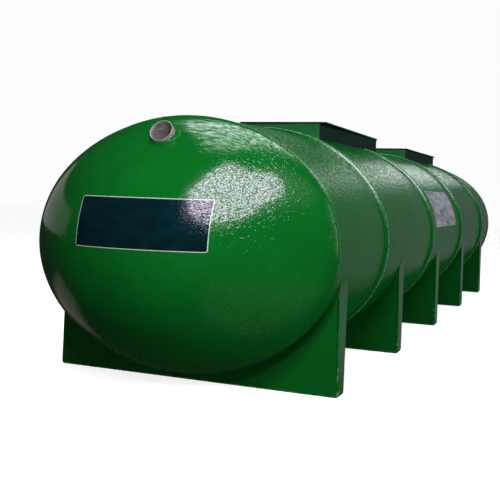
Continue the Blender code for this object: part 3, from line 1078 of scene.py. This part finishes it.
def dress():
    """Every visible piece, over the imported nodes."""
    dished_end("near_dome_skin", "near_dome", NEAR_SEAM, -1)
    dished_end("far_dome_skin", "far_dome", FAR_SEAM, 1)
    seams = [0.0, *RIB_PLACES, FAR_SEAM - NEAR_SEAM]
    for index in range(5):
        name = f"barrel_bay_{index + 1}"
        hatch = HATCHES.get(index)
        if hatch:
            hatch = (NEAR_SEAM + hatch[0], NEAR_SEAM + hatch[1], hatch[2])
        x_near, x_far = NEAR_SEAM + seams[index], NEAR_SEAM + seams[index + 1]
        barrel_bay(name + "_skin", name, x_near, x_far, hatch)
    for index, place in enumerate(RIB_PLACES):
        name = f"rib_{index + 1}"
        band(name + "_laid", name, rib_profile(NEAR_SEAM + place), 10.0 * index, crest=RIB_HIGHLIGHT_ROWS)
    band("near_lip_laid", "near_seam_lip", lip_profile(NEAR_SEAM, -1), 51.0, 0.0010)
    band("far_lip_laid", "far_seam_lip", lip_profile(FAR_SEAM, 1), 61.0, 0.0010)
    for index in range(5):
        name = f"saddle_{index + 1}"
        saddle(name + "_slab", name)
    for prefix, turn in (("front_chamber", FRONT_LID_TURN), ("rear_chamber", 0.0)):
        walls = [f"{prefix}_{side}_wall" for side in ("near", "far", "left", "right")]
        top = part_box(walls[0])[1][2]
        chamber_box(prefix + "_box", walls, top)
        chamber_lid(prefix + "_cover", prefix + "_lid", turn)
    for pipe, collar, seam, way in (
        ("inlet_pipe", "inlet_collar", NEAR_SEAM, -1),
        ("outlet_pipe", "outlet_collar", FAR_SEAM, 1),
    ):
        end_pipe(pipe + "_stub", pipe, seam, way)
        end_collar(collar + "_laid", collar, seam, way)
    end_plate()
    side_plate()


# ---------------------------------------------------------------- floor, light, camera


def add_floor():
    """A wide pale floor that the tank neither mirrors nor takes light from."""
    bm = bmesh.new()
    bmesh.ops.create_grid(bm, x_segments=8, y_segments=8, size=40.0)
    floor = new_object("floor", bm, pale_floor("floor_pale"))
    floor.visible_glossy = False
    floor.visible_diffuse = False


def area_light(name, place, target, size, power):
    """A rectangular light aimed at its target, which mirrors don't show."""
    data = bpy.data.lights.new(name, "AREA")
    data.shape = "RECTANGLE"
    data.size, data.size_y = size
    data.energy = power
    light = bpy.data.objects.new(name, data)
    bpy.context.scene.collection.objects.link(light)
    aim = (Vector(target) - Vector(place)).to_track_quat("-Z", "Y").to_matrix().to_4x4()
    light.matrix_world = Matrix.Translation(place) @ aim
    light.visible_camera = False
    light.visible_glossy = False


def add_world():
    """Dim surroundings for the reflections, even light for the rest, white for the camera."""
    world = bpy.data.worlds.new("studio")
    bpy.context.scene.world = world
    world.use_nodes = True
    world.cycles.sampling_method = "NONE"
    n = Nodes(world.node_tree)
    n.tree.nodes.clear()
    x, y, z = n.parts(n.add("ShaderNodeTexCoord").outputs["Generated"])
    turn = n.maths("DEGREES", n.maths("ARCTAN2", y, x))
    lift = n.maths("DEGREES", n.maths("ARCSINE", z))

    def within(value, span, soft):
        """One between two angles, and nothing outside them."""
        rising = n.ramp(value, span[0] - soft, span[0] + soft)
        falling = n.ramp(value, span[1] - soft, span[1] + soft, 1.0, 0.0)
        return n.maths("MULTIPLY", rising, falling)

    def light_of(colour, strength=None):
        node = n.add("ShaderNodeBackground")
        node.inputs["Color"].default_value = (*colour, 1.0)
        if strength is not None:
            n.link(strength, node.inputs["Strength"])
        return node.outputs["Background"]

    def scene_of(level, cards):
        """An even grey with patches of light in it."""
        seen = light_of((level, level, level))
        for turns, lifts, soft, colour in cards:
            patch = n.maths("MULTIPLY", within(turn, turns, soft), within(lift, lifts, soft))
            both = n.add("ShaderNodeAddShader")
            n.link(seen, both.inputs[0])
            n.link(light_of(colour, patch), both.inputs[1])
            seen = both.outputs["Shader"]
        return seen

    path = n.add("ShaderNodeLightPath")
    seen = scene_of(MIRRORED_DARK, SURROUNDINGS)
    for switch, other in (
        ("Is Diffuse Ray", scene_of(AMBIENT, BOUNCE)),
        ("Is Camera Ray", light_of((BACKDROP, BACKDROP, BACKDROP))),
    ):
        choose = n.add("ShaderNodeMixShader")
        n.link(path.outputs[switch], choose.inputs["Fac"])
        n.link(seen, choose.inputs[1])
        n.link(other, choose.inputs[2])
        seen = choose.outputs["Shader"]
    n.link(seen, n.add("ShaderNodeOutputWorld").inputs["Surface"])


def window_panel(name, outline, height, radiance):
    """A flat glowing panel over the tank, seen only in reflections."""
    bm = bmesh.new()
    bm.faces.new([bm.verts.new((x, y, height)) for x, y in outline])
    material = bpy.data.materials.new(name + "_glow")
    material.use_nodes = True
    n = Nodes(material.node_tree)
    n.tree.nodes.clear()
    glow = n.add("ShaderNodeEmission")
    glow.inputs["Color"].default_value = (*(level / max(radiance) for level in radiance), 1.0)
    glow.inputs["Strength"].default_value = max(radiance)
    n.link(glow.outputs["Emission"], n.add("ShaderNodeOutputMaterial").inputs["Surface"])
    panel = new_object(name, bm, material)
    panel.visible_camera = False
    panel.visible_diffuse = False
    panel.visible_shadow = False


def add_lights():
    """The roof opening for the glare, and plain lights for the rest."""
    window_panel("window", WINDOW_OUTLINE, WINDOW_HEIGHT, WINDOW_RADIANCE)
    for name, (place, target, size, power) in LIGHTS.items():
        area_light(name, place, target, size, power)


def add_camera():
    """The camera as fitted to the photograph's outline."""
    data = bpy.data.cameras.new("camera")
    data.sensor_width = 36.0
    data.lens = CAMERA_LENS
    camera = bpy.data.objects.new("camera", data)
    bpy.context.scene.collection.objects.link(camera)
    camera.location = CAMERA_PLACE
    camera.rotation_euler = tuple(math.radians(v) for v in CAMERA_TURN)
    bpy.context.scene.camera = camera


dress()
add_floor()
add_world()
add_lights()
add_camera()
bpy.context.scene.view_settings.view_transform = "Standard"
